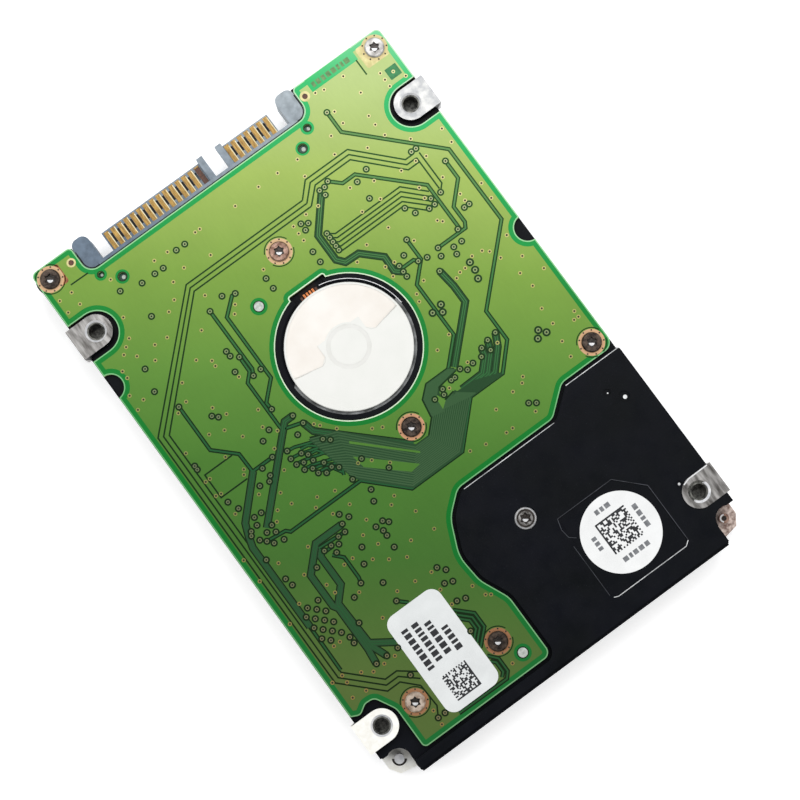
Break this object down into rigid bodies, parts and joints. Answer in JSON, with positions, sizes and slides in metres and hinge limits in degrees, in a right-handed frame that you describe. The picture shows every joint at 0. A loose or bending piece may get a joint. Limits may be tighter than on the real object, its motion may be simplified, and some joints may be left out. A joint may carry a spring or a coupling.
{
  "type": "hard disk drive",
  "caption": "Small laptop-size hard disk drive with an exposed circuit board, side connector, threaded mounting lugs, spinning disks and a swinging head actuator.",
  "frame": {"origin": "middle of the cover's outer face, which the drive lies on", "axes": "+Z out of the circuit-board side, +Y towards the connector, +X across the width to the 7-contact signal side"},
  "size_m": [0.0698, 0.1002, 0.0095],
  "materials": {
    "casting": "black paint over die-cast aluminium, bare on the lugs and bosses",
    "cover_metal": "satin stamped sheet",
    "gasket_foam": "matte closed-cell foam",
    "screw_steel": "plated steel",
    "label_paper": "white coated paper",
    "filter_felt": "white felt",
    "board_laminate": "green solder mask over glass-fibre laminate",
    "chip_epoxy": "black moulded epoxy",
    "insulator_film": "black film",
    "connector_plastic": "slate blue moulded plastic",
    "contact_gold": "gold plated",
    "motor_metal": "fine turned",
    "flex_film": "amber polyimide film",
    "lamination_steel": "stacked laminations",
    "copper_wire": "enamelled copper",
    "bearing_steel": "ground steel",
    "hub_aluminium": "machined",
    "magnet_nickel": "nickel-plated magnet",
    "disk_glass": "coated glass disk",
    "arm_aluminium": "machined",
    "overmould_plastic": "black moulded plastic",
    "suspension_steel": "thin stainless sheet",
    "slider_ceramic": "ceramic slider",
    "yoke_steel": "nickel-plated steel",
    "stop_rubber": "elastomer",
    "ramp_plastic": "natural engineering plastic"
  },
  "bodies": {
    "case": {"base_casting": "casting", "top_cover": "cover_metal", "cover_gasket": "gasket_foam", "cover_screws": "screw_steel", "board_label": "label_paper", "round_label": "label_paper", "cover_label": "label_paper", "breather_filter": "filter_felt", "recirculation_filter": "filter_felt", "pcb_board": "board_laminate", "pcb_screws": "screw_steel", "controller_chip": "chip_epoxy", "memory_chips": "chip_epoxy", "motor_driver_chip": "chip_epoxy", "board_passives": "chip_epoxy", "motor_contact_block": "chip_epoxy", "board_insulator": "insulator_film", "head_connector_socket": "overmould_plastic", "connector_housing": "connector_plastic", "power_contacts": "contact_gold", "signal_contacts": "contact_gold", "motor_base": "motor_metal", "motor_flex": "flex_film", "stator_core": "lamination_steel", "stator_windings": "copper_wire", "bearing_sleeve": "bearing_steel", "motor_end_cap": "bearing_steel", "pivot_shaft": "bearing_steel", "pivot_inner_races": "bearing_steel", "pivot_screw": "screw_steel", "flex_cable": "flex_film", "flex_bracket": "hub_aluminium", "head_connector_plug": "overmould_plastic", "yoke_cover_side": "yoke_steel", "yoke_board_side": "yoke_steel", "yoke_magnets": "magnet_nickel", "yoke_spacers": "bearing_steel", "yoke_screws": "screw_steel", "crash_stops": "stop_rubber", "parking_ramp": "ramp_plastic", "ramp_screw": "screw_steel", "latch_pin": "bearing_steel"},
    "spindle": {"spindle_shaft": "bearing_steel", "spindle_hub": "hub_aluminium", "rotor_magnet": "magnet_nickel", "platter_cover_side": "disk_glass", "platter_board_side": "disk_glass", "platter_spacer": "hub_aluminium", "platter_clamp": "hub_aluminium", "clamp_screws": "screw_steel"},
    "actuator": {"actuator_arm": "arm_aluminium", "voice_coil": "copper_wire", "coil_overmould": "overmould_plastic", "suspensions": "suspension_steel", "head_sliders": "slider_ceramic", "preamp_chip": "chip_epoxy", "pivot_outer_races": "bearing_steel", "pivot_balls": "bearing_steel", "pivot_sleeve": "bearing_steel"},
    "latch": {"latch_lever": "overmould_plastic"}
  },
  "joints": [
    {"name": "spindle_spin", "type": "hinge", "parent": "case", "child": "spindle", "pos_m": [0, 0.0105, 0.005], "axis": [0, 0, 1], "continuous": true},
    {"name": "actuator_swing", "type": "hinge", "parent": "case", "child": "actuator", "pos_m": [0.0064, -0.0278, 0.004], "axis": [0, 0, 1], "range_deg": [-37.5, 0], "deforming": ["flex_cable"]},
    {"name": "latch_swing", "type": "hinge", "parent": "case", "child": "latch", "pos_m": [0.0303, -0.0359, 0.0042], "axis": [0, 0, 1], "range_deg": [0, 20]}
  ]
}
